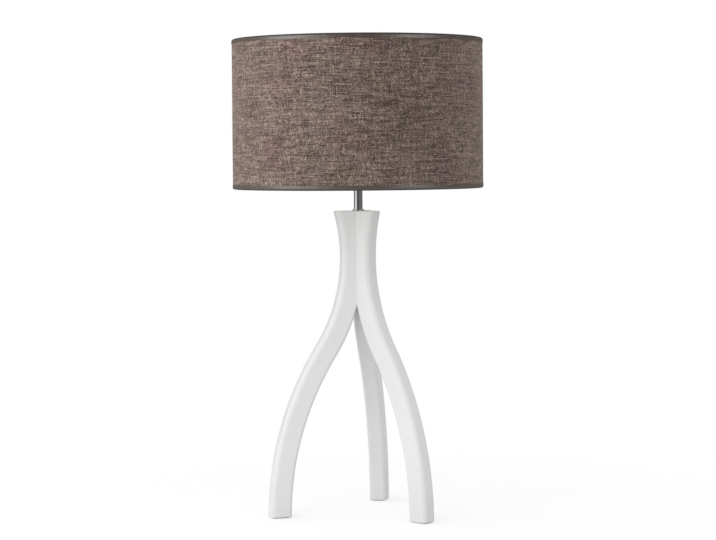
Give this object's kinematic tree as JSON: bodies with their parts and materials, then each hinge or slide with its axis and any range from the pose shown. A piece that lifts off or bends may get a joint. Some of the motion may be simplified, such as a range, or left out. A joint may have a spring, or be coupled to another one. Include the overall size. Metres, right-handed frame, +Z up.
{
  "type": "table lamp",
  "caption": "Table lamp: a white tripod of bent legs joined in a flared neck, a short chrome stem and a wide drum shade of coarse brown cloth.",
  "frame": {"origin": "on the lamp's upright axis, at the level of the floor under its three feet", "axes": "+Z up along the axis; +Y towards the foot of the rear leg; +X to the right seen from the front"},
  "size_m": [0.35, 0.35, 0.6637],
  "materials": {
    "lacquer": "satin white lacquer over bent wood",
    "dowel_wood": "bare beech",
    "felt": "pale grey pressed felt",
    "steel": "zinc plated steel",
    "chrome": "polished chrome plate",
    "nylon": "black moulded nylon",
    "holder_plastic": "white moulded plastic",
    "core_plastic": "off-white insulating plastic",
    "contact_brass": "bare brass",
    "shade_cloth": "coarse slubbed linen-like weave, brown taupe",
    "shade_tape": "smooth satin tape, darker brown taupe",
    "shade_film": "translucent off-white film",
    "hoop_paint": "white powder coat on steel wire",
    "bulb_white": "white moulded plastic",
    "bulb_opal": "opal diffusing plastic",
    "bulb_metal": "nickel plated thin sheet",
    "bulb_insulator": "dark glassy insulator",
    "board": "white coated aluminium board",
    "chip": "yellow phosphor on a white package"
  },
  "bodies": {
    "root": {"leg_left": "lacquer", "leg_right": "lacquer", "leg_rear": "lacquer", "foot_pad_left": "felt", "foot_pad_right": "felt", "foot_pad_rear": "felt", "leg_dowels": "dowel_wood", "threaded_tube": "steel", "crotch_washer": "steel", "crotch_nut": "steel", "cord_bushing": "nylon", "stem_collar": "chrome", "stem_tube": "chrome", "holder_cap": "holder_plastic", "holder_body": "holder_plastic", "holder_core": "core_plastic", "screw_shell": "contact_brass", "centre_contact": "contact_brass", "terminal_screws": "contact_brass", "holder_lock_screw": "steel"},
    "shade": {"shade_fabric": "shade_cloth", "shade_liner": "shade_film", "top_ring": "hoop_paint", "lower_ring": "hoop_paint", "top_trim": "shade_tape", "lower_trim": "shade_tape", "gallery_ring": "hoop_paint", "fitter_arm_left": "hoop_paint", "fitter_arm_right": "hoop_paint", "fitter_arm_rear": "hoop_paint"},
    "clamp_ring": {"shade_ring": "holder_plastic"},
    "bulb_lift": {"bulb_tip": "bulb_metal"},
    "bulb": {"bulb_insulator": "bulb_insulator", "bulb_cap": "bulb_metal", "bulb_housing": "bulb_white", "led_board": "board", "led_chips": "chip", "bulb_globe": "bulb_opal"}
  },
  "joints": [
    {"name": "shade_turn", "type": "hinge", "parent": "root", "child": "shade", "pos_m": [0, 0, 0.4913], "axis": [0, 0, 1], "continuous": true},
    {"name": "ring_turn", "type": "hinge", "parent": "root", "child": "clamp_ring", "pos_m": [0, 0, 0.4971], "axis": [0, 0, 1], "continuous": true},
    {"name": "bulb_turn", "type": "hinge", "parent": "bulb_lift", "child": "bulb", "pos_m": [0, 0, 0.5235], "axis": [0, 0, 1], "range_deg": [0, 1440]},
    {"name": "bulb_rise", "type": "slide", "parent": "root", "child": "bulb_lift", "axis": [0, 0, 1], "range_m": [0, 0.01462]}
  ],
  "couplings": [
    {"joint": "bulb_rise", "follows": "bulb_turn", "m_per_rad": 0.00057773}
  ]
}
